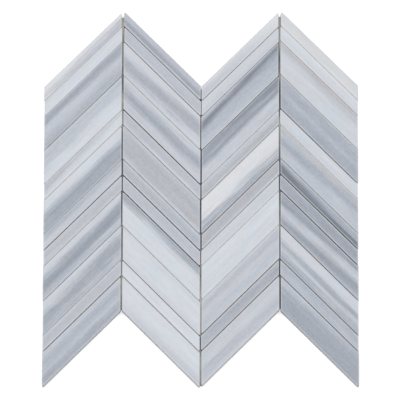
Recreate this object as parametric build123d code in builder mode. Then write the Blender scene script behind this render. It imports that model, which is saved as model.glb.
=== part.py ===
from build123d import *
from math import cos, radians, sin, tan
import os

# Chevron mosaic tile sheet: mitred strips of marble in four columns, glued on one backing net.
# It lies flat with the honed face up. The origin is the middle of its underside on the floor.
# +X runs across the columns and +Y along them, towards the peaks of the chevron. Millimetres.

# Columns, from left to right
column_count = 4
column_pitch = 76.2
column_joint = 1.2
chevron_angle = 45.0
column_lifts = (-0.6, 0.4, 0.0, 1.4)

# Strips, from the top of a column down
strip_order = ("narrow", "narrow", "wide", "wide", "narrow", "wide") * 2
strip_widths = {"narrow": 10.5, "wide": 23.5}
stone_thickness = 9.5
tip_radius = 0.8
shoulder_nip = 0.6
arris = 0.5

# Joints between the strips, from the top of each column down: t is tight, u usual and o open
joint_widths = {"t": 0.3, "u": 0.5, "o": 0.8}
column_joints = ("ttouuuouuuo", "uuuouuoouuo", "ututuouttoo", "tuuotuooooo")

# The hand setting leaves each strip a little to one side along its own joint
end_wander = 0.25
wander_per_strip = 2.3
wander_per_column = 0.9

# The first strips of each column stand away from the peak beside them, so that seam opens upward
peak_spread = 0.4
spread_rows = 4

# Backing net
net_thickness = 0.5
net_inset = 6.0

# A strip runs across its column at the chevron angle, so along the column it measures more
slope = tan(radians(chevron_angle))
upright = 1 / cos(radians(chevron_angle))
strip_span = column_pitch - column_joint
strip_heights = {kind: width * upright for kind, width in strip_widths.items()}


def column_height(column):
    strips = sum(strip_heights[kind] for kind in strip_order)
    joints = sum(joint_widths[mark] for mark in column_joints[column])
    return strips + joints * upright


def column_middle(column):
    return (column - (column_count - 1) / 2) * column_pitch


def column_rise(column):
    return slope if column % 2 == 0 else -slope


def strip_aside(column, row):
    phase = wander_per_strip * row + wander_per_column * (column - (column_count - 1) / 2)
    spread = peak_spread * max(0.0, 1 - row / spread_rows)
    away_from_peak = -1 if column % 2 == 0 else 1
    return end_wander * sin(phase) + away_from_peak * spread


# Where each strip's middle lies, with Y measured from the level top of an unshifted column
places = {}
for column in range(column_count):
    edge = column_lifts[column]
    for row, kind in enumerate(strip_order):
        aside = strip_aside(column, row)
        along = edge - strip_heights[kind] / 2 + aside * column_rise(column)
        places[column, row] = (column_middle(column) + aside, along)
        if row < len(strip_order) - 1:
            edge -= strip_heights[kind] + joint_widths[column_joints[column][row]] * upright

# The origin lies midway between the highest strip and the lowest one
first_middles = [places[column, 0][1] for column in range(column_count)]
last_middles = [places[column, len(strip_order) - 1][1] for column in range(column_count)]
sheet_head = max(first_middles) + strip_heights[strip_order[0]] / 2
sheet_foot = min(last_middles) - strip_heights[strip_order[-1]] / 2
sheet_middle = (sheet_head + sheet_foot) / 2

os.makedirs("parts", exist_ok=True)

# Marble strips: a mitred plan with rounded tips and nipped shoulders, square below, eased on top
for column in range(column_count):
    rise = column_rise(column)
    for row, kind in enumerate(strip_order):
        half_span = strip_span / 2
        half_height = strip_heights[kind] / 2
        strip_x, along = places[column, row]
        strip_y = along - sheet_middle
        with BuildPart() as strip:
            with BuildSketch(Plane(origin=(strip_x, strip_y, net_thickness))) as plan:
                with BuildLine():
                    Polyline(
                        (-half_span, -half_height - half_span * rise),
                        (half_span, -half_height + half_span * rise),
                        (half_span, half_height + half_span * rise),
                        (-half_span, half_height - half_span * rise),
                        close=True,
                    )
                make_face()
                corners = plan.vertices().sort_by_distance((0, 0))
                shoulders = corners[:2]
                tips = corners[-2:]
                chamfer(shoulders, length=shoulder_nip)
                fillet(tips, radius=tip_radius)
            extrude(amount=stone_thickness)
            honed_face = strip.faces().sort_by(Axis.Z)[-1]
            chamfer(honed_face.edges(), length=arris)
        name = f"column{column + 1}_strip{row + 1:02d}_{kind}"
        strip.part.label = name
        export_step(strip.part, f"parts/{name}.step")

# Backing net: one thin sheet cut to the zigzag of the columns, inset from their outline
seams = [(number - column_count / 2) * column_pitch for number in range(column_count + 1)]
swings = [slope * column_pitch / 2 * (-1 if number % 2 == 0 else 1) for number in range(column_count + 1)]
feet = [lift - column_height(column) for column, lift in enumerate(column_lifts)]
lowest_top = min(column_lifts) - sheet_middle
highest_foot = max(feet) - sheet_middle
head_points = [(x, lowest_top + swing) for x, swing in zip(seams, swings)]
foot_points = [(x, highest_foot + swing) for x, swing in zip(seams, swings)]
with BuildPart() as backing_net:
    with BuildSketch():
        with BuildLine():
            Polyline(*head_points, *reversed(foot_points), close=True)
        make_face()
        offset(amount=-net_inset, kind=Kind.INTERSECTION)
    extrude(amount=net_thickness)
backing_net.part.label = "backing_net"
export_step(backing_net.part, "parts/backing_net.step")
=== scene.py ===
import math

import bpy
from mathutils import Matrix, Vector


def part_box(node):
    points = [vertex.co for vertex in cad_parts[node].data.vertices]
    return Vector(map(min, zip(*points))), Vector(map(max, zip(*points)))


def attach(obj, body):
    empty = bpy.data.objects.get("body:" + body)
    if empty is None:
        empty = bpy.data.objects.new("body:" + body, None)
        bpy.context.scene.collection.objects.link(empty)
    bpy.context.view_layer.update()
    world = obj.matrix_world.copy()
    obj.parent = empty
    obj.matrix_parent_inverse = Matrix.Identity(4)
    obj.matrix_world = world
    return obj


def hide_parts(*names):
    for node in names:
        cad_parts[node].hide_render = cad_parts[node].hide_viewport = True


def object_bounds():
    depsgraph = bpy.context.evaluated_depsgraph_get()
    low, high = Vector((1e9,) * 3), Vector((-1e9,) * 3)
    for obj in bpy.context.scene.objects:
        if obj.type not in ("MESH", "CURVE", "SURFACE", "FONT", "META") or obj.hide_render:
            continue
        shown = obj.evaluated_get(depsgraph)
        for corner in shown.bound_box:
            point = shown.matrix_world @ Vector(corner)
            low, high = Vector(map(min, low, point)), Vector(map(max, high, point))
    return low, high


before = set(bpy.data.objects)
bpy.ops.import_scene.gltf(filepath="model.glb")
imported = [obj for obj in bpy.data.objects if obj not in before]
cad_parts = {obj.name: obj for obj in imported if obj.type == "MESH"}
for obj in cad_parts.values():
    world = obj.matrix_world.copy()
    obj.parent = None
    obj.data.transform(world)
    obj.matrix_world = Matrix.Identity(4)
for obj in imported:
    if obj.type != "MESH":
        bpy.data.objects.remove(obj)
cad_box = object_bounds()

# The marble strips are sawn from honed slabs of linear-veined stone, cut along the vein, and mitred
# at both ends. Each is a plain parallelogram whose top edge is eased by hand. The saw leaves the
# sides and the back rough, and the thin tips and the arris are nicked here and there.
MM = 0.001
SLOPE = 1.0
TIP_RADIUS = 0.8 * MM
ARRIS = 0.5 * MM
TIP_LOSS = math.sqrt(2) * TIP_RADIUS
TIP_FACTORS = (0.8, 1.3)
TIP_STEPS = 6
WALL_ROWS = 9
ARRIS_STEPS = 4
WALL_STEP = 0.6 * MM
WELD = 0.01 * MM
FACE_WELD = 0.02 * MM
NICK_SCALE = 420.0
NICK_NOISE = (0.60, 0.72)
NICK_REACH = (2.2 * MM, 0.4 * MM)
NICK_DEPTH = -0.9


def node(tree, kind, **values):
    """A node of that kind, with its properties and its sockets set by name."""
    made = tree.nodes.new(kind)
    for name, value in values.items():
        if hasattr(made, name):
            setattr(made, name, value)
        else:
            made.inputs[name.replace("_", " ")].default_value = value
    return made


def geometry_tree(name, sizes):
    """An empty geometry tree with named number or vector inputs and a material input."""
    tree = bpy.data.node_groups.new(name, "GeometryNodeTree")
    face = tree.interface
    for title, kind in sizes.items():
        face.new_socket(title, in_out="INPUT", socket_type="NodeSocket" + kind)
    face.new_socket("Material", in_out="INPUT", socket_type="NodeSocketMaterial")
    face.new_socket("Geometry", in_out="OUTPUT", socket_type="NodeSocketGeometry")
    return tree, tree.nodes.new("NodeGroupInput"), tree.nodes.new("NodeGroupOutput")


def maths(tree, operation, first, second=None, third=None):
    """One Math node. An operand is a socket or a number."""
    made = tree.nodes.new("ShaderNodeMath")
    made.operation = operation
    for socket, value in zip(made.inputs, (first, second, third)):
        if isinstance(value, bpy.types.NodeSocket):
            tree.links.new(value, socket)
        elif value is not None:
            socket.default_value = value
    return made.outputs[0]


def vector(tree, operation, first, second=None, scale=None):
    """One Vector Math node. An operand is a socket or three numbers."""
    made = tree.nodes.new("ShaderNodeVectorMath")
    made.operation = operation
    for socket, value in ((made.inputs[0], first), (made.inputs[1], second), (made.inputs[3], scale)):
        if isinstance(value, bpy.types.NodeSocket):
            tree.links.new(value, socket)
        elif value is not None:
            socket.default_value = value
    return made.outputs[1] if operation in ("LENGTH", "DOT_PRODUCT") else made.outputs[0]


def xyz(tree, x=0.0, y=0.0, z=0.0):
    """One Combine XYZ node from sockets or numbers."""
    made = tree.nodes.new("ShaderNodeCombineXYZ")
    for socket, value in zip(made.inputs, (x, y, z)):
        if isinstance(value, bpy.types.NodeSocket):
            tree.links.new(value, socket)
        else:
            socket.default_value = value
    return made.outputs[0]


def axis(tree, source, name):
    """The X, Y or Z of a vector socket."""
    made = tree.nodes.new("ShaderNodeSeparateXYZ")
    tree.links.new(source, made.inputs[0])
    return made.outputs[name]


def ramp_between(tree, value, low, high, to_low=0.0, to_high=1.0):
    """A smooth step of a value from low to high."""
    made = tree.nodes.new("ShaderNodeMapRange")
    made.interpolation_type = "SMOOTHSTEP"
    for socket, wanted in zip(made.inputs[:5], (value, low, high, to_low, to_high)):
        if isinstance(wanted, bpy.types.NodeSocket):
            tree.links.new(wanted, socket)
        else:
            socket.default_value = wanted
    return made.outputs[0]


def follow(tree, kind, source, **values):
    """A node that takes the geometry of source in its first socket, and gives its first output."""
    made = node(tree, kind, **values)
    tree.links.new(source, made.inputs[0])
    return made


def sawn_strip_tree():
    sizes = dict(Centre="Vector", Span="Float", Height="Float", Rise="Float", Thickness="Float",
                 Radius="Float", Arris="Float", Seed="Float")
    tree, given, out = geometry_tree("sawn_strip", sizes)
    size = given.outputs
    join = tree.links.new
    # Plan of the strip: a parallelogram with upright ends and rounded tips
    plan = tree.nodes.new("GeometryNodeCurvePrimitiveQuadrilateral")
    plan.mode = "PARALLELOGRAM"
    join(size["Height"], plan.inputs["Width"])
    join(size["Span"], plan.inputs["Height"])
    climb = maths(tree, "MULTIPLY", size["Span"], size["Rise"])
    join(maths(tree, "MULTIPLY", climb, -1.0), plan.inputs["Offset"])
    turned = follow(tree, "GeometryNodeTransform", plan.outputs[0])
    turned.inputs["Rotation"].default_value = (0, 0, -math.pi / 2)
    rounded = follow(tree, "GeometryNodeFilletCurve", turned.outputs[0])
    rounded.mode = "POLY"
    rounded.inputs["Count"].default_value = TIP_STEPS
    corner = tree.nodes.new("FunctionNodeRandomValue")
    corner.data_type = "FLOAT"
    corner.inputs[2].default_value = TIP_FACTORS[0]
    corner.inputs[3].default_value = TIP_FACTORS[1]
    join(size["Seed"], corner.inputs["Seed"])
    join(maths(tree, "MULTIPLY", size["Radius"], corner.outputs[1]), rounded.inputs["Radius"])
    outline = follow(tree, "GeometryNodeResampleCurve", rounded.outputs[0])
    outline.mode = "LENGTH"
    outline.inputs["Length"].default_value = WALL_STEP
    # Outward direction of the wall, kept on every point
    tangent = tree.nodes.new("GeometryNodeInputTangent")
    outward = vector(tree, "CROSS_PRODUCT", tangent.outputs[0], (0, 0, 1))
    kept = follow(tree, "GeometryNodeStoreNamedAttribute", outline.outputs[0])
    kept.data_type = "FLOAT_VECTOR"
    kept.inputs["Name"].default_value = "outward"
    join(outward, kept.inputs["Value"])
    out_attribute = tree.nodes.new("GeometryNodeInputNamedAttribute")
    out_attribute.data_type = "FLOAT_VECTOR"
    out_attribute.inputs["Name"].default_value = "outward"
    # Section of the wall and of the eased arris, swept round the plan
    wall_top = maths(tree, "SUBTRACT", size["Thickness"], size["Arris"])
    full_drop = maths(tree, "MULTIPLY", size["Thickness"], -1.0)
    wall = tree.nodes.new("GeometryNodeCurvePrimitiveLine")
    join(xyz(tree, 0, maths(tree, "MULTIPLY", wall_top, -1.0)), wall.inputs["End"])
    wall_steps = follow(tree, "GeometryNodeResampleCurve", wall.outputs[0])
    wall_steps.inputs["Count"].default_value = WALL_ROWS
    eased = tree.nodes.new("GeometryNodeCurveQuadraticBezier")
    eased.inputs["Resolution"].default_value = ARRIS_STEPS
    join(xyz(tree, 0, maths(tree, "MULTIPLY", wall_top, -1.0)), eased.inputs["Start"])
    join(xyz(tree, 0, full_drop), eased.inputs["Middle"])
    join(xyz(tree, maths(tree, "MULTIPLY", size["Arris"], -1.0), full_drop), eased.inputs["End"])
    section = follow(tree, "GeometryNodeJoinGeometry", wall_steps.outputs[0])
    join(eased.outputs[0], section.inputs[0])
    swept = follow(tree, "GeometryNodeCurveToMesh", kept.outputs[0])
    join(section.outputs[0], swept.inputs["Profile Curve"])
    facing_out = follow(tree, "GeometryNodeFlipFaces", swept.outputs[0])
    welded = follow(tree, "GeometryNodeMergeByDistance", facing_out.outputs[0])
    welded.inputs["Distance"].default_value = WELD
    # Nicks along the arris, deepest at its outer edge and nothing where it meets the face
    place = tree.nodes.new("GeometryNodeInputPosition")
    depth = maths(tree, "SUBTRACT", size["Thickness"], axis(tree, place.outputs[0], "Z"))
    nick = tree.nodes.new("ShaderNodeTexNoise")
    nick.noise_dimensions = "4D"
    nick.inputs["Scale"].default_value = NICK_SCALE
    nick.inputs["Detail"].default_value = 2.0
    join(place.outputs[0], nick.inputs["Vector"])
    join(size["Seed"], nick.inputs["W"])
    bite = ramp_between(tree, nick.outputs[0], *NICK_NOISE)
    reach = ramp_between(tree, depth, *NICK_REACH)
    inset_left = maths(tree, "MINIMUM", maths(tree, "DIVIDE", depth, size["Arris"]), 1.0)
    bitten = maths(tree, "MULTIPLY", maths(tree, "MULTIPLY", bite, reach), inset_left)
    bite_depth = maths(tree, "MULTIPLY", maths(tree, "MULTIPLY", bitten, size["Arris"]), NICK_DEPTH)
    inward = vector(tree, "SCALE", out_attribute.outputs[0], scale=bite_depth)
    nicked = follow(tree, "GeometryNodeSetPosition", welded.outputs[0])
    join(inward, nicked.inputs["Offset"])
    # Honed face and sawn back close the strip
    inner = follow(tree, "GeometryNodeSetPosition", kept.outputs[0])
    arris_in = maths(tree, "MULTIPLY", size["Arris"], -1.0)
    join(vector(tree, "SCALE", out_attribute.outputs[0], scale=arris_in), inner.inputs["Offset"])
    filled = follow(tree, "GeometryNodeFillCurve", inner.outputs[0])
    filled.mode = "NGONS"
    face = follow(tree, "GeometryNodeTransform", filled.outputs[0])
    join(xyz(tree, 0, 0, size["Thickness"]), face.inputs["Translation"])
    back = follow(tree, "GeometryNodeFillCurve", kept.outputs[0])
    back.mode = "NGONS"
    under = follow(tree, "GeometryNodeFlipFaces", back.outputs[0])
    flat = follow(tree, "GeometryNodeJoinGeometry", face.outputs[0])
    join(under.outputs[0], flat.inputs[0])
    smooth = follow(tree, "GeometryNodeSetShadeSmooth", nicked.outputs[0])
    smooth.inputs["Shade Smooth"].default_value = True
    faceted = follow(tree, "GeometryNodeSetShadeSmooth", flat.outputs[0])
    faceted.inputs["Shade Smooth"].default_value = False
    whole = follow(tree, "GeometryNodeJoinGeometry", smooth.outputs[0])
    join(faceted.outputs[0], whole.inputs[0])
    closed = follow(tree, "GeometryNodeMergeByDistance", whole.outputs[0])
    closed.inputs["Distance"].default_value = FACE_WELD
    placed = follow(tree, "GeometryNodeTransform", closed.outputs[0])
    join(size["Centre"], placed.inputs["Translation"])
    real = follow(tree, "GeometryNodeRealizeInstances", placed.outputs[0])
    finish = follow(tree, "GeometryNodeSetMaterial", real.outputs[0])
    join(size["Material"], finish.inputs["Material"])
    join(finish.outputs[0], out.inputs[0])
    return tree


def grown(name, tree, values, lines=None):
    """A plain mesh object from a geometry tree with these input values, and from lines that it follows."""
    host = bpy.data.objects.new(name + "_host", lines or bpy.data.meshes.new(name + "_host"))
    bpy.context.scene.collection.objects.link(host)
    tool = host.modifiers.new("grow", "NODES")
    tool.node_group = tree
    for item in tree.interface.items_tree:
        if item.in_out == "INPUT" and item.name in values:
            tool[item.identifier] = values[item.name]
    bpy.context.view_layer.update()
    ready = host.evaluated_get(bpy.context.evaluated_depsgraph_get())
    mesh = bpy.data.meshes.new_from_object(ready)
    mesh.name = name
    if mesh.materials[0] is None:
        mesh.materials.pop(index=0)
    bpy.data.objects.remove(host)
    made = bpy.data.objects.new(name, mesh)
    bpy.context.scene.collection.objects.link(made)
    return made


strip_tree = sawn_strip_tree()

STONE_THICKNESS = 9.5 * MM
# Width in millimetres of the painted highlight rim along the edges of each face
HIGHLIGHT_WIDTH = 1.7
COOL_HUE = (0.972, 0.999, 1.019, 1)
WARM_HUE = (1.004, 0.994, 1.004, 1)
WHITE_STONE = 0.58
GREY_STONE = 0.28
FINE_GRAIN = 0.6
COARSE_GRAIN = 2.1

# Shades of the honed face as they show in the studio, and how much brighter than the stone it is lit
STUDIO_GAIN = 1.265
SHADES = {
    "bright": (223, 225, 228),
    "white": (214, 219, 225),
    "warm white": (217, 218, 219),
    "pale": (208, 212, 219),
    "mist": (199, 203, 211),
    "haze": (190, 196, 205),
    "lilac": (187, 190, 199),
    "ash": (181, 184, 190),
    "dove": (177, 181, 190),
    "fawn": (192, 187, 184),
    "blue": (175, 182, 193),
    "slate": (160, 167, 178),
    "deep slate": (136, 144, 155),
    "ink": (112, 120, 132),
    # Painted highlight colour of the eased arris and of the rim beside it
    "arris": (218, 220, 224),
    "sawn": (178, 176, 175),
}


def reflectance(shade):
    """Linear colour that shows as this display shade under the studio light."""
    linear = [((value / 255 + 0.055) / 1.055) ** 2.4 / STUDIO_GAIN for value in SHADES[shade]]
    return (*linear, 1)


def shader_group(name, given, put_out):
    """An empty shader group with named inputs and outputs."""
    tree = bpy.data.node_groups.new(name, "ShaderNodeTree")
    for title, kind in given.items():
        tree.interface.new_socket(title, in_out="INPUT", socket_type="NodeSocket" + kind)
    for title, kind in put_out.items():
        tree.interface.new_socket(title, in_out="OUTPUT", socket_type="NodeSocket" + kind)
    return tree, tree.nodes.new("NodeGroupInput").outputs, tree.nodes.new("NodeGroupOutput").inputs


def placed_group(tree, group, **given):
    """A group put into a tree, with its inputs linked or set by name."""
    made = tree.nodes.new("ShaderNodeGroup")
    made.node_tree = group
    for name, value in given.items():
        if isinstance(value, bpy.types.NodeSocket):
            tree.links.new(value, made.inputs[name])
        else:
            made.inputs[name].default_value = value
    return made.outputs


def blended(tree, share, first, second):
    """A colour between two others, by a share from 0 to 1."""
    made = tree.nodes.new("ShaderNodeMix")
    made.data_type = "RGBA"
    for socket, value in ((made.inputs[0], share), (made.inputs[6], first), (made.inputs[7], second)):
        if isinstance(value, bpy.types.NodeSocket):
            tree.links.new(value, socket)
        else:
            socket.default_value = value
    return made.outputs[2]


def cloudy(tree, place, stretch, seed, detail=2.0):
    """Noise from 0 to 1 on a place in millimetres, with its own pitch along, across and down."""
    made = tree.nodes.new("ShaderNodeTexNoise")
    made.noise_dimensions = "4D"
    made.inputs["Scale"].default_value = 1.0
    made.inputs["Detail"].default_value = detail
    tree.links.new(vector(tree, "MULTIPLY", place, stretch), made.inputs["Vector"])
    tree.links.new(seed, made.inputs["W"])
    return made.outputs[0]


def swing(tree, value, amount):
    """A noise value turned into a swing about zero."""
    return maths(tree, "MULTIPLY", maths(tree, "SUBTRACT", value, 0.5), amount)


def linear_vein_group():
    given = dict(Colour="Color", Tint="Color", Place="Vector", At="Float", Reach="Float", Strength="Float",
                 Drift="Float", Fade="Float", Seed="Float")
    tree, take, give = shader_group("linear_vein", given, dict(Colour="Color"))
    along = axis(tree, take["Place"], "X")
    across = axis(tree, take["Place"], "Y")
    middle = maths(tree, "MULTIPLY_ADD", take["Drift"], along, take["At"])
    fray = cloudy(tree, take["Place"], (0.022, 0.30, 0.1), take["Seed"], 4.0)
    wander = maths(tree, "MULTIPLY", swing(tree, fray, 1.5), take["Reach"])
    away = maths(tree, "ABSOLUTE", maths(tree, "ADD", maths(tree, "SUBTRACT", across, middle), wander))
    cover = ramp_between(tree, away, maths(tree, "MULTIPLY", take["Reach"], 1.15),
                         maths(tree, "MULTIPLY", take["Reach"], 0.05))
    patch = cloudy(tree, take["Place"], (0.045, 0.05, 0.1), take["Seed"])
    thread = cloudy(tree, take["Place"], (0.012, 0.85, 0.1), take["Seed"], 3.0)
    fading = maths(tree, "MULTIPLY_ADD", maths(tree, "MULTIPLY", take["Fade"], 0.02), along, 1.0)
    patchy = maths(tree, "ADD", swing(tree, patch, 0.6), swing(tree, thread, 0.8))
    uneven = maths(tree, "ADD", fading, patchy)
    share = maths(tree, "MULTIPLY", maths(tree, "MULTIPLY", cover, uneven), take["Strength"])
    tree.links.new(blended(tree, share, take["Colour"], take["Tint"]), give["Colour"])
    return tree


def stone_grain_group():
    given = dict(Colour="Color", Place="Vector", Mottle="Float", Seed="Float")
    tree, take, give = shader_group("stone_grain", given, dict(Colour="Color", Grain="Float"))
    streak = cloudy(tree, take["Place"], (0.014, 0.55, 0.2), take["Seed"], 4.0)
    cloud = cloudy(tree, take["Place"], (0.05, 0.20, 0.1), take["Seed"], 3.0)
    crystal = cloudy(tree, take["Place"], (1.5, 1.5, 1.5), take["Seed"])
    fleck = cloudy(tree, take["Place"], (0.30, 0.42, 0.3), take["Seed"], 3.0)
    # Grey stone is coarser than white stone, so its crystals show more
    paleness = axis(tree, take["Colour"], "Y")
    coarse = ramp_between(tree, paleness, WHITE_STONE, GREY_STONE, FINE_GRAIN, COARSE_GRAIN)
    crystals = maths(tree, "ADD", swing(tree, crystal, 0.16), swing(tree, fleck, 0.20))
    fine = maths(tree, "MULTIPLY", crystals, coarse)
    bands = maths(tree, "ADD", swing(tree, streak, 0.22), fine)
    total = maths(tree, "ADD", bands, maths(tree, "MULTIPLY", swing(tree, cloud, 0.16), take["Mottle"]))
    tint = cloudy(tree, take["Place"], (0.03, 0.16, 0.1), maths(tree, "ADD", take["Seed"], 5.3), 3.0)
    hue = blended(tree, ramp_between(tree, tint, 0.38, 0.62), COOL_HUE, WARM_HUE)
    tinted = vector(tree, "MULTIPLY", take["Colour"], hue)
    lit = vector(tree, "SCALE", tinted, scale=maths(tree, "ADD", total, 1.0))
    tree.links.new(lit, give["Colour"])
    grain = maths(tree, "ADD", maths(tree, "MULTIPLY", crystal, 0.7), maths(tree, "MULTIPLY", streak, 0.3))
    tree.links.new(grain, give["Grain"])
    return tree


def cut_faces_group():
    given = dict(Colour="Color", Place="Vector", Grain="Float", Seed="Float", Width="Float", Span="Float",
                 Lean="Vector")
    put_out = dict(Colour="Color", Roughness="Float", Relief="Float")
    tree, take, give = shader_group("cut_faces", given, put_out)
    height = axis(tree, take["Place"], "Z")
    top = STONE_THICKNESS / MM
    # Painted highlight: the eased arris and a narrow rim of the face beside it are painted paler, where
    # light catches the edges
    from_side = maths(tree, "SUBTRACT", maths(tree, "MULTIPLY", take["Width"], 0.5),
                      maths(tree, "ABSOLUTE", axis(tree, take["Place"], "Y")))
    from_end = maths(tree, "SUBTRACT", maths(tree, "MULTIPLY", take["Span"], 0.5),
                     maths(tree, "ABSOLUTE", vector(tree, "DOT_PRODUCT", take["Place"], take["Lean"])))
    highlight_wobble = cloudy(tree, take["Place"], (0.10, 0.35, 0.1), take["Seed"], 3.0)
    highlight_width = maths(tree, "ADD", HIGHLIGHT_WIDTH, swing(tree, highlight_wobble, 2.4))
    highlight_band = ramp_between(tree, maths(tree, "MINIMUM", from_side, from_end), highlight_width, 0.4)
    eased = maths(tree, "MULTIPLY", ramp_between(tree, height, top - 0.75, top - 0.35),
                  ramp_between(tree, height, top - 0.01, top - 0.10))
    sawn = ramp_between(tree, height, top - 0.45, top - 0.9)
    scored = cloudy(tree, take["Place"], (0.05, 0.05, 2.6), take["Seed"], 2.0)
    dust = cloudy(tree, take["Place"], (0.12, 0.12, 0.25), take["Seed"], 3.0)
    # Painted highlight: the arris and the rim beside it are drawn paler, towards the arris shade
    arris_highlight = maths(tree, "MULTIPLY", eased, 0.7)
    highlight_share = maths(tree, "MAXIMUM", arris_highlight, maths(tree, "MULTIPLY", highlight_band, 0.4))
    highlighted = blended(tree, highlight_share, take["Colour"], reflectance("arris"))
    saw_share = maths(tree, "MULTIPLY", sawn, maths(tree, "ADD", 0.45, swing(tree, dust, 0.8)))
    tree.links.new(blended(tree, saw_share, highlighted, reflectance("sawn")), give["Colour"])
    honed = maths(tree, "ADD", 0.46, swing(tree, take["Grain"], 0.25))
    tree.links.new(maths(tree, "MULTIPLY_ADD", sawn, 0.32, honed), give["Roughness"])
    lines = maths(tree, "MULTIPLY", maths(tree, "MULTIPLY", scored, sawn), 3.0)
    tree.links.new(maths(tree, "ADD", lines, take["Grain"]), give["Relief"])
    return tree


linear_vein = linear_vein_group()
stone_grain = stone_grain_group()
cut_faces = cut_faces_group()


def vein(at, reach, tint, strength=0.8, drift=0.0, fade=0.0):
    """A band along the strip. Its middle and reach are shares of the width, from the upper edge down."""
    return dict(at=at, reach=reach, tint=tint, strength=strength, drift=drift, fade=fade)


def marble(name, middle, turn, span, width, slab, seed):
    """Honed marble of one strip, with the veins of the slab that it was cut from."""
    ground, mottle, veins = slab
    stone = bpy.data.materials.new(name)
    stone.use_nodes = True
    tree = stone.node_tree
    shader = tree.nodes["Principled BSDF"]
    length = span / math.cos(turn)
    lay = tree.nodes.new("ShaderNodeMapping")
    lay.vector_type = "TEXTURE"
    lay.inputs["Location"].default_value = middle
    lay.inputs["Rotation"].default_value = (0, 0, turn)
    lay.inputs["Scale"].default_value = (MM, MM, MM)
    tree.links.new(tree.nodes.new("ShaderNodeTexCoord").outputs["Object"], lay.inputs["Vector"])
    place = lay.outputs["Vector"]
    colour = reflectance(ground)
    for number, band in enumerate(veins):
        colour = placed_group(
            tree, linear_vein, Colour=colour, Tint=reflectance(band["tint"]), Place=place,
            At=(0.5 - band["at"]) * width / MM, Reach=band["reach"] * width / MM, Strength=band["strength"],
            Drift=-band["drift"] * width / length, Fade=band["fade"], Seed=seed + 0.37 * number)["Colour"]
    grown_stone = placed_group(tree, stone_grain, Colour=colour, Place=place, Mottle=mottle, Seed=seed)
    faces = placed_group(
        tree, cut_faces, Colour=grown_stone["Colour"], Place=place, Grain=grown_stone["Grain"], Seed=seed,
        Width=width / MM, Span=span / MM, Lean=(math.cos(turn), -math.sin(turn), 0))
    tree.links.new(faces["Colour"], shader.inputs["Base Color"])
    tree.links.new(faces["Roughness"], shader.inputs["Roughness"])
    bump = node(tree, "ShaderNodeBump", Strength=0.35, Distance=0.08 * MM)
    tree.links.new(faces["Relief"], bump.inputs["Height"])
    tree.links.new(bump.outputs["Normal"], shader.inputs["Normal"])
    return stone


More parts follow.
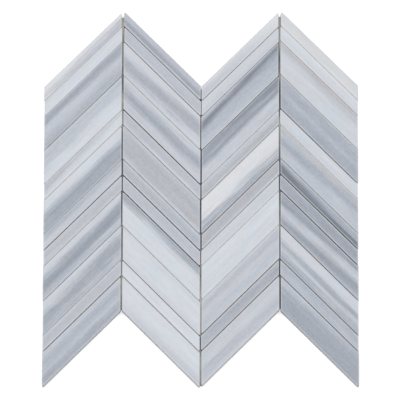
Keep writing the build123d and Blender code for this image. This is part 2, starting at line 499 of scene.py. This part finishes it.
# What each strip shows: its ground, how mottled it is, and its veins. Each column runs from its top down.
SLABS = (
    (
        ("bright", 1.0, [vein(0.92, 0.72, "lilac", 1.0, fade=0.55)]),
        ("white", 1.0, [vein(0.10, 0.40, "pale", 0.6)]),
        ("haze", 1.0, [vein(0.15, 0.32, "slate", 1.0), vein(0.50, 0.28, "mist", 0.9),
                       vein(1.0, 0.38, "slate", 0.75)]),
        ("white", 1.0, [vein(0.23, 0.50, "haze", 1.0, drift=-0.12)]),
        ("white", 1.0, [vein(0.02, 0.65, "lilac", 0.85, drift=-0.3, fade=-0.5)]),
        ("white", 1.0, [vein(0.80, 0.55, "slate", 1.0), vein(1.05, 0.40, "slate", 0.8),
                        vein(0.57, 0.14, "deep slate", 0.4), vein(0.47, 0.16, "slate", 0.45)]),
        ("mist", 1.0, [vein(0.05, 0.52, "blue", 1.0)]),
        ("mist", 1.2, [vein(0.47, 0.55, "lilac", 1.0, drift=0.3)]),
        ("pale", 1.2, [vein(0.44, 0.27, "slate", 1.0, drift=-0.10),
                       vein(0.65, 0.27, "slate", 1.0, drift=-0.10),
                       vein(0.57, 0.18, "deep slate", 0.5, drift=-0.08), vein(1.0, 0.28, "blue", 0.8)]),
        ("pale", 1.2, [vein(0.55, 0.41, "slate", 1.0, drift=-0.18), vein(1.0, 0.35, "slate", 0.65)]),
        ("mist", 1.0, [vein(0.5, 0.60, "lilac", 1.0)]),
        ("haze", 1.5, [vein(0.0, 0.25, "mist", 0.9), vein(0.36, 0.26, "blue", 0.9),
                       vein(0.86, 0.28, "slate", 0.8)]),
    ),
    (
        ("lilac", 1.0, [vein(0.66, 0.30, "slate", 0.95), vein(0.67, 0.13, "deep slate", 0.35)]),
        ("haze", 1.0, [vein(0.40, 0.45, "lilac", 0.6), vein(1.0, 0.26, "mist", 0.9)]),
        ("pale", 1.0, [vein(0.55, 0.42, "dove", 1.0, drift=-0.24),
                       vein(0.46, 0.22, "slate", 0.45, drift=-0.24)]),
        ("mist", 1.0, [vein(0.46, 0.29, "slate", 0.95, drift=-0.04), vein(0.0, 0.22, "pale", 0.6)]),
        ("haze", 1.0, [vein(0.45, 0.50, "lilac", 0.9), vein(1.0, 0.30, "pale", 0.9)]),
        ("ash", 1.3, [vein(0.0, 0.28, "mist", 0.6), vein(0.35, 0.14, "dove", 0.5),
                      vein(0.55, 0.14, "lilac", 0.3),
                      vein(1.0, 0.24, "mist", 0.8)]),
        ("haze", 1.2, [vein(0.62, 0.55, "dove", 0.8)]),
        ("haze", 1.2, [vein(0.40, 0.40, "lilac", 0.7)]),
        ("white", 1.0, [vein(0.03, 0.38, "slate", 1.0)]),
        ("white", 1.0, [vein(0.0, 0.22, "mist", 0.4), vein(1.0, 0.25, "mist", 0.5)]),
        ("white", 1.0, [vein(1.0, 0.30, "bright", 0.7)]),
        ("white", 1.0, [vein(0.45, 0.30, "bright", 0.3), vein(1.02, 0.50, "mist", 0.95)]),
    ),
    (
        ("bright", 1.0, [vein(0.78, 0.75, "mist", 0.8, fade=-0.9)]),
        ("pale", 1.0, [vein(1.0, 0.55, "mist", 0.8)]),
        ("haze", 1.3, [vein(0.36, 0.55, "blue", 0.9), vein(0.22, 0.22, "ink", 0.85, drift=-0.15)]),
        ("mist", 1.5, [vein(0.19, 0.46, "slate", 1.0), vein(0.07, 0.26, "deep slate", 1.0, fade=0.8),
                       vein(0.42, 0.11, "deep slate", 0.7)]),
        ("mist", 1.0, [vein(0.66, 0.45, "ash", 1.0), vein(1.0, 0.20, "mist", 0.8)]),
        ("bright", 1.0, [vein(1.03, 0.56, "slate", 1.0)]),
        ("ash", 1.2, [vein(1.0, 0.30, "mist", 0.9)]),
        ("pale", 1.0, [vein(0.6, 0.40, "mist", 0.3)]),
        ("white", 1.0, [vein(0.7, 0.30, "pale", 0.5)]),
        ("mist", 1.2, [vein(0.25, 0.17, "lilac", 0.95), vein(0.74, 0.25, "haze", 0.8)]),
        ("ash", 2.2, [vein(0.5, 0.40, "blue", 0.9, drift=0.1), vein(0.55, 0.40, "slate", 0.4, fade=1.0)]),
        ("mist", 1.2, [vein(0.68, 0.20, "lilac", 0.9, drift=0.06), vein(0.83, 0.10, "lilac", 0.5),
                       vein(0.36, 0.16, "pale", 0.5)]),
    ),
    (
        ("warm white", 1.0, [vein(0.3, 0.35, "pale", 0.3), vein(1.0, 0.3, "bright", 0.8)]),
        ("white", 1.0, [vein(0.05, 0.25, "bright", 0.8), vein(0.75, 0.30, "pale", 0.6)]),
        ("pale", 1.0, [vein(0.03, 0.34, "fawn", 0.9), vein(0.10, 0.08, "ash", 0.6),
                       vein(0.22, 0.20, "haze", 0.5)]),
        ("blue", 2.4, [vein(0.50, 0.14, "haze", 0.4), vein(0.25, 0.25, "slate", 0.35),
                       vein(0.78, 0.30, "slate", 0.6)]),
        ("pale", 1.0, [vein(0.4, 0.40, "white", 0.4)]),
        ("haze", 1.8, [vein(0.38, 0.32, "blue", 0.95, drift=-0.2),
                       vein(0.40, 0.18, "slate", 0.5, drift=-0.2),
                       vein(0.05, 0.15, "fawn", 0.5)]),
        ("blue", 1.5, [vein(0.35, 0.30, "slate", 0.6), vein(0.76, 0.41, "ink", 1.1, drift=0.2)]),
        ("blue", 2.4, [vein(0.58, 0.75, "slate", 1.0, fade=0.3),
                       vein(0.40, 0.50, "deep slate", 0.15, fade=1.0)]),
        ("slate", 1.2, [vein(0.45, 0.28, "mist", 0.92, drift=-0.24),
                        vein(0.20, 0.12, "deep slate", 0.45, drift=-0.24),
                        vein(0.80, 0.16, "deep slate", 0.4, drift=-0.24),
                        vein(1.0, 0.15, "blue", 0.6, fade=0.8)]),
        ("pale", 1.2, [vein(0.51, 0.19, "slate", 0.85), vein(0.74, 0.16, "mist", 0.3),
                       vein(1.0, 0.34, "slate", 1.0)]),
        ("blue", 1.5, [vein(0.70, 0.40, "haze", 0.6)]),
        ("slate", 1.5, [vein(0.0, 0.44, "haze", 0.70, fade=-0.7)]),
    ),
)
STRIPS_PER_COLUMN = 12

for number, name in enumerate(sorted(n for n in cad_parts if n.startswith("column"))):
    low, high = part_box(name)
    column, row = divmod(number, STRIPS_PER_COLUMN)
    rise = -SLOPE if column % 2 else SLOPE
    span = high.x - low.x
    height = high.y - low.y - span * SLOPE + 2 * TIP_LOSS
    middle = ((low.x + high.x) / 2, (low.y + high.y) / 2, low.z)
    lean = math.atan(rise)
    stone = marble("marble_" + name[:15], middle, lean, span, height * math.cos(lean), SLABS[column][row],
                   float(number))
    strip = grown("marble_" + name, strip_tree, {
        "Centre": middle, "Span": span, "Height": height, "Rise": rise, "Thickness": high.z - low.z,
        "Radius": TIP_RADIUS, "Arris": ARRIS, "Seed": float(number), "Material": stone})
    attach(strip, "root")
    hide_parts(name)

# The net is woven from flat fibreglass yarns in a plain weave and stiffened with a white size. It is cut
# to the zigzag a little inside the stone, and the back of every strip is glued to it.
COLUMN_PITCH = 76.2 * MM
YARN_PITCH = 5.0 * MM
YARN_WIDTH = 1.1 * MM
YARN_THICKNESS = 0.12 * MM
YARN_SWING = 0.07 * MM
NET_MIDDLE = 0.16 * MM
SIZE_WHITE = (0.72, 0.72, 0.69, 1)
SIZE_STAINED = (0.58, 0.56, 0.48, 1)
net_low, net_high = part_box("backing_net")


def outside_zigzag(tree, size):
    """True where a point lies past the zigzag head or foot of the net, or past its sides."""
    place = tree.nodes.new("GeometryNodeInputPosition").outputs[0]
    across = maths(tree, "ABSOLUTE", axis(tree, place, "X"))
    climb = maths(tree, "PINGPONG", across, size["Column Pitch"])
    valley = maths(tree, "SUBTRACT", axis(tree, size["High"], "Y"), size["Column Pitch"])
    head = maths(tree, "ADD", valley, climb)
    foot = maths(tree, "ADD", axis(tree, size["Low"], "Y"), climb)
    above = maths(tree, "GREATER_THAN", axis(tree, place, "Y"), head)
    below = maths(tree, "LESS_THAN", axis(tree, place, "Y"), foot)
    beside = maths(tree, "GREATER_THAN", across, axis(tree, size["High"], "X"))
    return maths(tree, "GREATER_THAN", maths(tree, "ADD", maths(tree, "ADD", above, below), beside), 0.5)


def netted_grid(tree, size, pitch):
    """A level grid of points over the net's box, trimmed to its zigzag."""
    grid = tree.nodes.new("GeometryNodeMeshGrid")
    extent = vector(tree, "SUBTRACT", size["High"], size["Low"])
    middle = vector(tree, "SCALE", vector(tree, "ADD", size["High"], size["Low"]), scale=0.5)
    for letter in "XY":
        cells = maths(tree, "FLOOR", maths(tree, "DIVIDE", axis(tree, extent, letter), pitch))
        tree.links.new(maths(tree, "ADD", cells, 1), grid.inputs["Vertices " + letter])
        tree.links.new(maths(tree, "MULTIPLY", cells, pitch), grid.inputs["Size " + letter])
    centre = xyz(tree, axis(tree, middle, "X"), axis(tree, middle, "Y"))
    placed = follow(tree, "GeometryNodeTransform", grid.outputs["Mesh"])
    tree.links.new(centre, placed.inputs["Translation"])
    trimmed = follow(tree, "GeometryNodeDeleteGeometry", placed.outputs[0])
    trimmed.domain = "POINT"
    tree.links.new(outside_zigzag(tree, size), trimmed.inputs["Selection"])
    return trimmed.outputs[0], centre


def woven_net_tree():
    sizes = {"Low": "Vector", "High": "Vector", "Column Pitch": "Float", "Yarn Pitch": "Float",
             "Yarn Width": "Float", "Yarn Thickness": "Float", "Yarn Swing": "Float", "Middle": "Float"}
    tree, given, out = geometry_tree("woven_net", sizes)
    size = given.outputs
    trimmed, middle = netted_grid(tree, size, size["Yarn Pitch"])
    # Each crossing passes one yarn over and the other under, and the next crossing the other way about
    ends = tree.nodes.new("GeometryNodeInputMeshEdgeVertices")
    step = vector(tree, "SUBTRACT", ends.outputs["Position 1"], ends.outputs["Position 2"])
    run = vector(tree, "ABSOLUTE", step)
    is_warp = maths(tree, "GREATER_THAN", axis(tree, run, "Y"), axis(tree, run, "X"))
    is_weft = maths(tree, "SUBTRACT", 1.0, is_warp)
    yarns = tree.nodes.new("GeometryNodeJoinGeometry")
    for chosen, way in ((is_warp, 1.0), (is_weft, -1.0)):
        line = follow(tree, "GeometryNodeMeshToCurve", trimmed)
        tree.links.new(chosen, line.inputs["Selection"])
        place = tree.nodes.new("GeometryNodeInputPosition").outputs[0]
        steps = vector(tree, "SCALE", place, scale=maths(tree, "DIVIDE", math.pi, size["Yarn Pitch"]))
        half = vector(tree, "SCALE", middle, scale=maths(tree, "DIVIDE", math.pi, size["Yarn Pitch"]))
        angle = vector(tree, "SUBTRACT", steps, half)
        wave = maths(tree, "MULTIPLY", maths(tree, "COSINE", axis(tree, angle, "X")),
                     maths(tree, "COSINE", axis(tree, angle, "Y")))
        lift = maths(tree, "MULTIPLY", size["Yarn Swing"], way)
        over = maths(tree, "MULTIPLY", maths(tree, "SIGN", wave), lift)
        wavy = follow(tree, "GeometryNodeSetPosition", line.outputs[0])
        tree.links.new(xyz(tree, 0, 0, maths(tree, "ADD", over, size["Middle"])), wavy.inputs["Offset"])
        upright = follow(tree, "GeometryNodeSetCurveNormal", wavy.outputs[0])
        upright.mode = "Z_UP"
        flat = tree.nodes.new("GeometryNodeCurvePrimitiveQuadrilateral")
        tree.links.new(size["Yarn Width"], flat.inputs["Width"])
        tree.links.new(size["Yarn Thickness"], flat.inputs["Height"])
        yarn = follow(tree, "GeometryNodeCurveToMesh", upright.outputs[0])
        tree.links.new(flat.outputs[0], yarn.inputs["Profile Curve"])
        yarn.inputs["Fill Caps"].default_value = True
        tree.links.new(yarn.outputs[0], yarns.inputs[0])
    real = follow(tree, "GeometryNodeRealizeInstances", yarns.outputs[0])
    finish = follow(tree, "GeometryNodeSetMaterial", real.outputs[0])
    tree.links.new(size["Material"], finish.inputs["Material"])
    tree.links.new(finish.outputs[0], out.inputs[0])
    return tree


def sized_yarn(name):
    """Glass yarn under a white size, with the fine twist of its filaments."""
    yarn = bpy.data.materials.new(name)
    yarn.use_nodes = True
    tree = yarn.node_tree
    shader = tree.nodes["Principled BSDF"]
    place = vector(tree, "SCALE", tree.nodes.new("ShaderNodeTexCoord").outputs["Object"], scale=1 / MM)
    twist = node(tree, "ShaderNodeTexNoise", Scale=3.0, Detail=3.0)
    tree.links.new(place, twist.inputs["Vector"])
    stain = node(tree, "ShaderNodeTexNoise", Scale=0.06, Detail=2.0)
    tree.links.new(place, stain.inputs["Vector"])
    stained = ramp_between(tree, stain.outputs[0], 0.4, 0.65)
    white = blended(tree, stained, SIZE_WHITE, SIZE_STAINED)
    lit = vector(tree, "SCALE", white, scale=maths(tree, "ADD", 1.0, swing(tree, twist.outputs[0], 0.5)))
    tree.links.new(lit, shader.inputs["Base Color"])
    tree.links.new(maths(tree, "ADD", 0.55, swing(tree, twist.outputs[0], 0.4)), shader.inputs["Roughness"])
    bump = node(tree, "ShaderNodeBump", Strength=0.5, Distance=0.05 * MM)
    tree.links.new(twist.outputs[0], bump.inputs["Height"])
    tree.links.new(bump.outputs["Normal"], shader.inputs["Normal"])
    return yarn


net_sizes = {"Low": net_low, "High": net_high, "Column Pitch": COLUMN_PITCH, "Yarn Pitch": YARN_PITCH,
             "Yarn Width": YARN_WIDTH, "Yarn Thickness": YARN_THICKNESS, "Yarn Swing": YARN_SWING,
             "Middle": NET_MIDDLE, "Material": sized_yarn("fibreglass_yarn")}
net = grown("woven_backing_net", woven_net_tree(), net_sizes)
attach(net, "root")
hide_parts("backing_net")

# A film of adhesive, rolled on thinly, fills most of the weave and beds the back of every strip. Here
# and there it has not closed, so it is a thin sheet with ragged cells.
FILM_PITCH = 2.5 * MM
FILM_LOW = 0.22 * MM
FILM_HIGH = 0.49 * MM
FILM_HOLES = 0.62
FILM_RAGGED = 0.8
FILM_GREY = (0.36, 0.36, 0.35, 1)
FILM_TAN = (0.42, 0.39, 0.31, 1)


def adhesive_film_tree():
    sizes = {"Low": "Vector", "High": "Vector", "Column Pitch": "Float", "Film Pitch": "Float",
             "Film Low": "Float", "Film High": "Float"}
    tree, given, out = geometry_tree("adhesive_film", sizes)
    size = given.outputs
    trimmed = netted_grid(tree, size, size["Film Pitch"])[0]
    holes = node(tree, "ShaderNodeTexNoise", Scale=140.0, Detail=1.0)
    tree.links.new(tree.nodes.new("GeometryNodeInputPosition").outputs[0], holes.inputs["Vector"])
    open_cells = follow(tree, "GeometryNodeDeleteGeometry", trimmed)
    open_cells.domain = "FACE"
    is_hole = maths(tree, "GREATER_THAN", holes.outputs[0], FILM_HOLES)
    tree.links.new(is_hole, open_cells.inputs["Selection"])
    ragged = follow(tree, "GeometryNodeSetPosition", open_cells.outputs[0])
    nudge = node(tree, "ShaderNodeTexNoise", Scale=900.0, Detail=0.0)
    shake = vector(tree, "SCALE", vector(tree, "SUBTRACT", nudge.outputs["Color"], (0.5, 0.5, 0.5)),
                   scale=maths(tree, "MULTIPLY", size["Film Pitch"], FILM_RAGGED))
    flat_shake = vector(tree, "MULTIPLY", shake, (1, 1, 0))
    lifted = vector(tree, "ADD", flat_shake, xyz(tree, 0, 0, size["Film Low"]))
    tree.links.new(lifted, ragged.inputs["Offset"])
    raised = follow(tree, "GeometryNodeExtrudeMesh", ragged.outputs[0])
    raised.inputs["Individual"].default_value = False
    tree.links.new(xyz(tree, 0, 0, 1), raised.inputs["Offset"])
    film_depth = maths(tree, "SUBTRACT", size["Film High"], size["Film Low"])
    tree.links.new(film_depth, raised.inputs["Offset Scale"])
    under = follow(tree, "GeometryNodeFlipFaces", ragged.outputs[0])
    whole = follow(tree, "GeometryNodeJoinGeometry", raised.outputs[0])
    tree.links.new(under.outputs[0], whole.inputs[0])
    closed = follow(tree, "GeometryNodeMergeByDistance", whole.outputs[0])
    closed.inputs["Distance"].default_value = WELD
    real = follow(tree, "GeometryNodeRealizeInstances", closed.outputs[0])
    finish = follow(tree, "GeometryNodeSetMaterial", real.outputs[0])
    tree.links.new(size["Material"], finish.inputs["Material"])
    tree.links.new(finish.outputs[0], out.inputs[0])
    return tree


def dried_adhesive(name, grey_and_shade, browner, shade_from_height=0.0, shade_to_height=0.0):
    """Dried adhesive, in patches from grey where stone dust stuck to it to tan. With heights given, it is
    painted darker the lower it lies, as painted shade, and tan only where it stands high.
    """
    glue = bpy.data.materials.new(name)
    glue.use_nodes = True
    tree = glue.node_tree
    shader = tree.nodes["Principled BSDF"]
    place = vector(tree, "SCALE", tree.nodes.new("ShaderNodeTexCoord").outputs["Object"], scale=1 / MM)
    patches = node(tree, "ShaderNodeTexNoise", Scale=0.05, Detail=3.0)
    tree.links.new(place, patches.inputs["Vector"])
    grit = node(tree, "ShaderNodeTexNoise", Scale=1.8, Detail=3.0)
    tree.links.new(place, grit.inputs["Vector"])
    share = ramp_between(tree, patches.outputs[0], 0.38, 0.62)
    # Painted shade: with heights given, the bead is drawn darker the lower it lies
    if shade_to_height:
        share = maths(tree, "MULTIPLY", maths(tree, "MULTIPLY_ADD", share, 0.6, 0.4),
                      ramp_between(tree, axis(tree, place, "Z"), shade_from_height, shade_to_height))
    tone = blended(tree, share, grey_and_shade, browner)
    lit = vector(tree, "SCALE", tone, scale=maths(tree, "ADD", 1.0, swing(tree, grit.outputs[0], 0.7)))
    tree.links.new(lit, shader.inputs["Base Color"])
    tree.links.new(maths(tree, "ADD", 0.6, swing(tree, grit.outputs[0], 0.5)), shader.inputs["Roughness"])
    bump = node(tree, "ShaderNodeBump", Strength=0.6, Distance=0.15 * MM)
    tree.links.new(grit.outputs[0], bump.inputs["Height"])
    tree.links.new(bump.outputs["Normal"], shader.inputs["Normal"])
    return glue


film = grown("adhesive_film", adhesive_film_tree(), {
    "Low": net_low, "High": net_high, "Column Pitch": COLUMN_PITCH, "Film Pitch": FILM_PITCH,
    "Film Low": FILM_LOW, "Film High": FILM_HIGH,
    "Material": dried_adhesive("film_adhesive", FILM_GREY, FILM_TAN)})
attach(film, "root")

# Adhesive squeezed up between the strips when they were pressed down. In the tight joints and in parts of
# the seams it stands close under the arris, where it dried tan.
# Elsewhere it lies low. The seam bead is painted near black, and darker the lower it lies, as painted
# shade.
BEAD_WIDTH = {"joint": 1.3 * MM, "seam": 2.4 * MM}
BEAD_FOOT = 0.3 * MM
BEAD_STEP = 1.2 * MM
BEAD_ROUGH = 1.1 * MM
JOINT_END = 0.2 * MM
SEAM_END = {"head peak": 4.0 * MM, "foot peak": 0.6 * MM, "valley": 0.8 * MM}
# Fill letters, from the arris down: full, high, middle, low, deep and bottom
FILL_HEIGHTS = {"f": 9.5 * MM, "h": 9.15 * MM, "m": 8.6 * MM, "l": 8.1 * MM, "d": 7.5 * MM, "b": 5.0 * MM}
# Heights in millimetres over which the seam bead goes from painted shade up to tan
SEAM_SHADE_HEIGHTS = (7.4, 9.3)
JOINT_GREY = (0.42, 0.43, 0.46, 1)
JOINT_TAN = (0.47, 0.43, 0.40, 1)
# Near-black grey of the seam bead: grey adhesive darkened as painted shade for the narrow, deep seam
SEAM_GREY_AND_SHADE = (0.12, 0.13, 0.15, 1)
SEAM_TAN = (0.44, 0.42, 0.32, 1)
JOINT_STEPS = 24
JOINT_FILLS = ("ffmffhdhmhd", "bdhbmmbbhdm", "mmdhmdmffdd", "fhhdfmbbddd")
SEAM_FILLS = ("mmmdmmddddllmml", "bbbdbbddllhfdhm", "ffdmbhmddlmddbb")


def bead_tree():
    sizes = {"Lines": "Geometry", "Width": "Float", "Foot": "Float", "Step": "Float", "Rough": "Float"}
    tree, given, out = geometry_tree("squeezed_bead", sizes)
    size = given.outputs
    line = follow(tree, "GeometryNodeMeshToCurve", size["Lines"])
    stepped = follow(tree, "GeometryNodeResampleCurve", line.outputs[0])
    stepped.mode = "LENGTH"
    tree.links.new(size["Step"], stepped.inputs["Length"])
    block = tree.nodes.new("GeometryNodeCurvePrimitiveQuadrilateral")
    tree.links.new(size["Width"], block.inputs["Width"])
    block.inputs["Height"].default_value = 1.0 * MM
    swept = follow(tree, "GeometryNodeCurveToMesh", stepped.outputs[0])
    tree.links.new(block.outputs[0], swept.inputs["Profile Curve"])
    swept.inputs["Fill Caps"].default_value = True
    place = tree.nodes.new("GeometryNodeInputPosition").outputs[0]
    fill = tree.nodes.new("GeometryNodeInputNamedAttribute")
    fill.data_type = "FLOAT"
    fill.inputs["Name"].default_value = "fill"
    lumps = node(tree, "ShaderNodeTexNoise", Scale=160.0, Detail=3.0)
    tree.links.new(place, lumps.inputs["Vector"])
    lumpy = maths(tree, "MINIMUM", maths(tree, "SUBTRACT", lumps.outputs[0], 0.5), 0.1)
    uneven = maths(tree, "MULTIPLY", lumpy, size["Rough"])
    crest = maths(tree, "SUBTRACT", maths(tree, "ADD", fill.outputs[0], uneven), size["Foot"])
    is_top = maths(tree, "GREATER_THAN", axis(tree, place, "Z"), 0.0)
    level = maths(tree, "MULTIPLY_ADD", crest, is_top, size["Foot"])
    shaped = follow(tree, "GeometryNodeSetPosition", swept.outputs[0])
    shape = xyz(tree, axis(tree, place, "X"), axis(tree, place, "Y"), level)
    tree.links.new(shape, shaped.inputs["Position"])
    real = follow(tree, "GeometryNodeRealizeInstances", shaped.outputs[0])
    finish = follow(tree, "GeometryNodeSetMaterial", real.outputs[0])
    tree.links.new(size["Material"], finish.inputs["Material"])
    tree.links.new(finish.outputs[0], out.inputs[0])
    return tree


def strip_box(column, row):
    """Corners of the strip at this column and row, both counted from 0."""
    names = [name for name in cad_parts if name.startswith(f"column{column + 1}_strip{row + 1:02d}")]
    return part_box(names[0])


def joint_line(column, row):
    """Ends of the joint below a strip, midway between it and the next."""
    rise = -SLOPE if column % 2 else SLOPE
    (low, high), (next_low, next_high) = strip_box(column, row), strip_box(column, row + 1)
    left = max(low.x, next_low.x) + JOINT_END
    right = min(high.x, next_high.x) - JOINT_END
    # The lower edge of one strip and the upper edge of the next, taken where each box has its corner
    if rise > 0:
        lower = low.y - TIP_LOSS - low.x * rise
        upper = next_high.y + TIP_LOSS - next_high.x * rise
    else:
        lower = low.y - TIP_LOSS - high.x * rise
        upper = next_high.y + TIP_LOSS - next_low.x * rise
    level = (lower + upper) / 2
    return (left, level + left * rise), (right, level + right * rise)


def joint_word(column, letter):
    """The fill along a joint. It was wiped level with the stone at the sheet's two outer sides."""
    outer_left = "f" if column == 0 else ""
    outer_right = "f" if column == len(JOINT_FILLS) - 1 else ""
    return outer_left + letter * JOINT_STEPS + outer_right


def seam_line(seam):
    """Ends of the seam between two columns, a little inside the stone."""
    last = STRIPS_PER_COLUMN - 1
    (low, high), (next_low, next_high) = strip_box(seam, 0), strip_box(seam + 1, 0)
    foot_low, next_foot_low = strip_box(seam, last)[0], strip_box(seam + 1, last)[0]
    span = (high.x - low.x) * SLOPE
    is_peak = seam % 2 == 0
    head = min(high.y, next_high.y) - (0 if is_peak else span)
    foot = max(foot_low.y, next_foot_low.y) + (span if is_peak else 0)
    middle = (high.x + next_low.x) / 2
    head_end, foot_end = ("head peak", "valley") if is_peak else ("valley", "foot peak")
    return (middle, head - SEAM_END[head_end]), (middle, foot + SEAM_END[foot_end])


def fill_lines(name, lines):
    """A mesh of polylines. Each line is two ends and a word of fill letters, spread evenly along it."""
    corners, edges, heights = [], [], []
    for (start, end), word in lines:
        first = len(corners)
        for step, letter in enumerate(word):
            share = step / (len(word) - 1)
            x, y = (begin + (finish - begin) * share for begin, finish in zip(start, end))
            corners.append((x, y, 0))
            heights.append(FILL_HEIGHTS[letter])
        edges += [(first + step, first + step + 1) for step in range(len(word) - 1)]
    mesh = bpy.data.meshes.new(name)
    mesh.from_pydata(corners, edges, [])
    mesh.attributes.new("fill", "FLOAT", "POINT").data.foreach_set("value", heights)
    return mesh


joints = [(joint_line(column, row), joint_word(column, letter)) for column, word in enumerate(JOINT_FILLS)
          for row, letter in enumerate(word)]
seams = [(seam_line(seam), word) for seam, word in enumerate(SEAM_FILLS)]
squeezed_bead = bead_tree()
bead_finish = {
    "joint": dried_adhesive("joint_adhesive", JOINT_GREY, JOINT_TAN),
    "seam": dried_adhesive("seam_adhesive", SEAM_GREY_AND_SHADE, SEAM_TAN, *SEAM_SHADE_HEIGHTS)}
for where, lines in (("joint", joints), ("seam", seams)):
    bead = grown(where + "_adhesive", squeezed_bead, {
        "Width": BEAD_WIDTH[where], "Foot": BEAD_FOOT, "Step": BEAD_STEP, "Rough": BEAD_ROUGH,
        "Material": bead_finish[where]}, fill_lines(where + "_lines", lines))
    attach(bead, "root")

# Studio: a pale floor, one broad soft light from above, and a long lens held almost square to the sheet.
# The floor glows faintly and the world is white, so that the ground stays pale.
SHEET_PIXEL = 0.9665 * MM
CAMERA_DISTANCE = 4.58
CAMERA_ELEVATION = math.radians(77.23)
CAMERA_ROLL = math.radians(0.14)
SENSOR = 36.0
IMAGE_SIDE = 400
AIM_PIXELS = (-0.9, -2.8)
FLOOR_HALF = 40.0
FLOOR_GREY = (0.86, 0.86, 0.86, 1)
FLOOR_GLOW = 0.35
WORLD_GLOW = 0.35

floor_mesh = bpy.data.meshes.new("floor")
floor_corners = [(x * FLOOR_HALF, y * FLOOR_HALF, 0) for x, y in ((-1, -1), (1, -1), (1, 1), (-1, 1))]
floor_mesh.from_pydata(floor_corners, [], [(0, 1, 2, 3)])
floor = bpy.data.objects.new("floor", floor_mesh)
bpy.context.scene.collection.objects.link(floor)
floor_paint = bpy.data.materials.new("floor_paint")
floor_paint.use_nodes = True
floor_shader = floor_paint.node_tree.nodes["Principled BSDF"]
floor_shader.inputs["Base Color"].default_value = FLOOR_GREY
floor_shader.inputs["Roughness"].default_value = 0.9
floor_shader.inputs["Emission Color"].default_value = (1, 1, 1, 1)
floor_shader.inputs["Emission Strength"].default_value = FLOOR_GLOW
floor_mesh.materials.append(floor_paint)

world = bpy.data.worlds.new("studio")
world.use_nodes = True
world.node_tree.nodes["Background"].inputs["Color"].default_value = (1, 1, 1, 1)
world.node_tree.nodes["Background"].inputs["Strength"].default_value = WORLD_GLOW
bpy.context.scene.world = world


def soft_box(name, place, aim, side, power):
    lamp = bpy.data.lights.new(name, "AREA")
    lamp.shape = "SQUARE"
    lamp.size = side
    lamp.energy = power
    holder = bpy.data.objects.new(name, lamp)
    holder.location = place
    holder.rotation_euler = (Vector(aim) - Vector(place)).to_track_quat("-Z", "Y").to_euler()
    bpy.context.scene.collection.objects.link(holder)


soft_box("key_light", place=(-0.1, 0.3, 3.6), aim=(0, 0, 0), side=4.4, power=150)

lens = bpy.data.cameras.new("camera")
lens.sensor_width = SENSOR
lens.lens = SENSOR * CAMERA_DISTANCE / (IMAGE_SIDE * SHEET_PIXEL)
lens.clip_end = 50
camera = bpy.data.objects.new("camera", lens)
aim = Vector((AIM_PIXELS[0] * SHEET_PIXEL, AIM_PIXELS[1] * SHEET_PIXEL, cad_box[1][2]))
back = Vector((0, -math.cos(CAMERA_ELEVATION), math.sin(CAMERA_ELEVATION)))
camera.matrix_world = (Matrix.Translation(aim + back * CAMERA_DISTANCE)
                       @ (-back).to_track_quat("-Z", "Y").to_matrix().to_4x4()
                       @ Matrix.Rotation(CAMERA_ROLL, 4, "Z"))
bpy.context.scene.collection.objects.link(camera)
bpy.context.scene.camera = camera
bpy.context.scene.view_settings.view_transform = "Standard"
